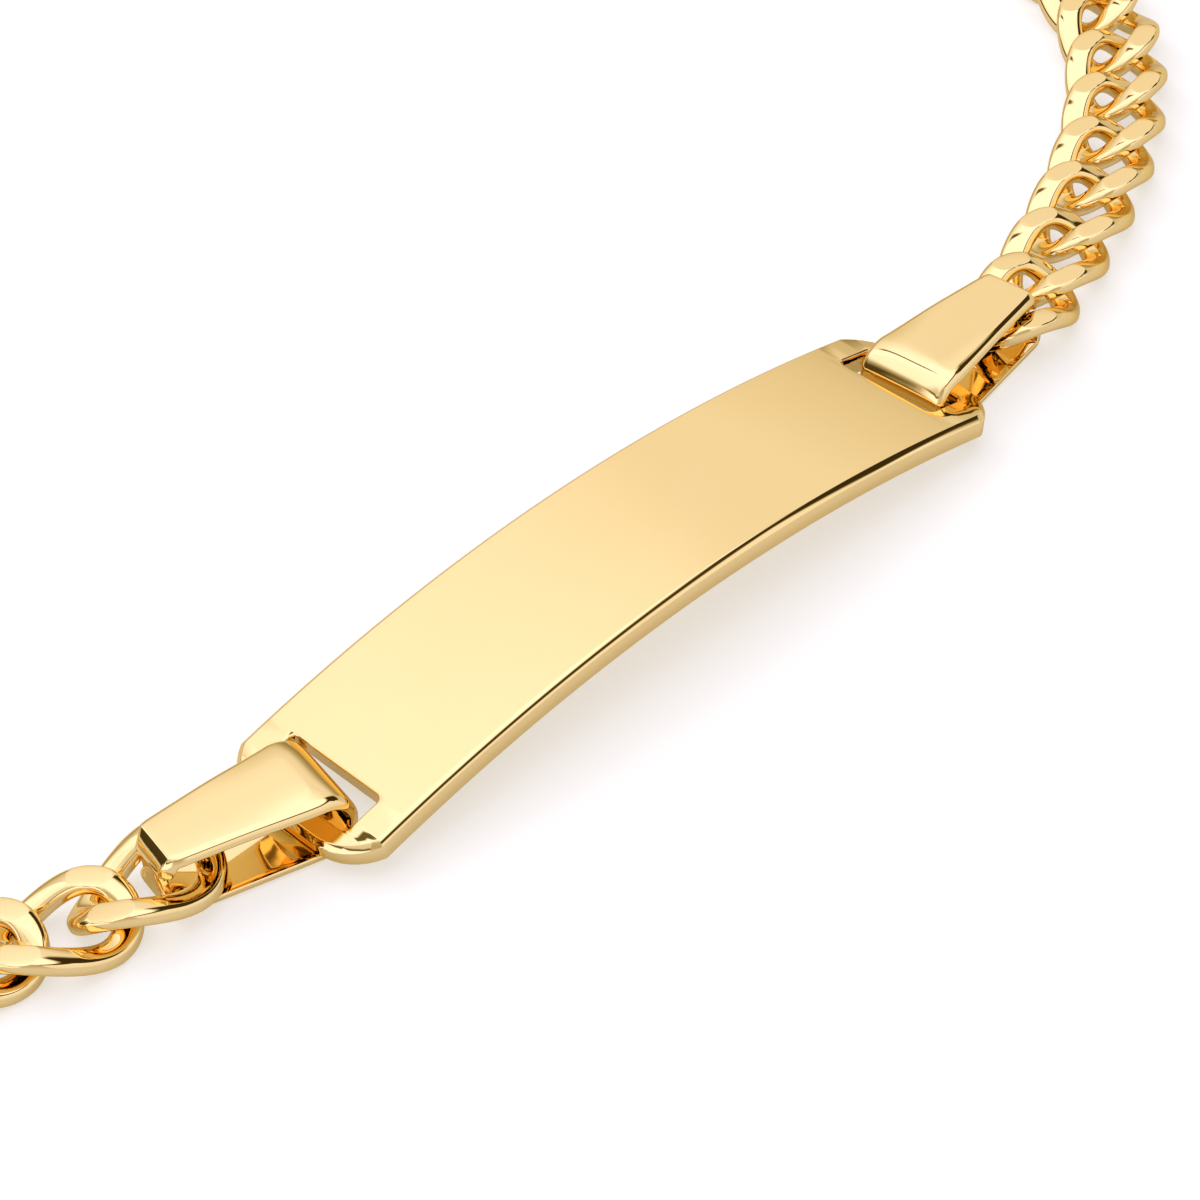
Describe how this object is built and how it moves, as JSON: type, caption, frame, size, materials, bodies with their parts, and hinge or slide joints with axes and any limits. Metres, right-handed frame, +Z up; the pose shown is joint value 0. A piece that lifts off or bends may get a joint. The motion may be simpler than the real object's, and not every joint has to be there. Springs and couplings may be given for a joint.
{
  "type": "identity bracelet",
  "caption": "Polished gold identity bracelet: a curved name plate with a folded connector at each end and a filed curb chain.",
  "frame": {"origin": "on the surface that the bracelet lies on, under the middle of the whole loop", "axes": "+X along the plate toward its right end, +Y across the loop from the plate to the chain behind it, +Z up"},
  "size_m": [0.0815, 0.0657, 0.0035],
  "materials": {
    "gold": "mirror polished yellow gold"
  },
  "bodies": {
    "root": {"plate": "gold", "connector_right": "gold", "connector_left": "gold", "clasp": "gold", "link_01": "gold", "link_02": "gold", "link_03": "gold", "link_04": "gold", "link_05": "gold", "link_06": "gold", "link_07": "gold", "link_08": "gold", "link_09": "gold", "link_10": "gold", "link_11": "gold", "link_12": "gold", "link_13": "gold", "link_14": "gold", "link_15": "gold", "link_16": "gold", "link_17": "gold", "link_18": "gold", "link_19": "gold", "link_20": "gold", "link_21": "gold", "link_22": "gold", "link_23": "gold", "link_24": "gold", "link_25": "gold", "link_26": "gold", "link_27": "gold", "link_28": "gold", "link_29": "gold", "link_30": "gold", "link_31": "gold", "link_32": "gold", "link_33": "gold", "link_34": "gold", "link_35": "gold", "link_36": "gold", "link_37": "gold", "link_38": "gold", "link_39": "gold", "link_40": "gold", "link_41": "gold", "link_42": "gold", "link_43": "gold", "link_44": "gold", "link_45": "gold", "link_46": "gold", "link_47": "gold"}
  },
  "joints": []
}
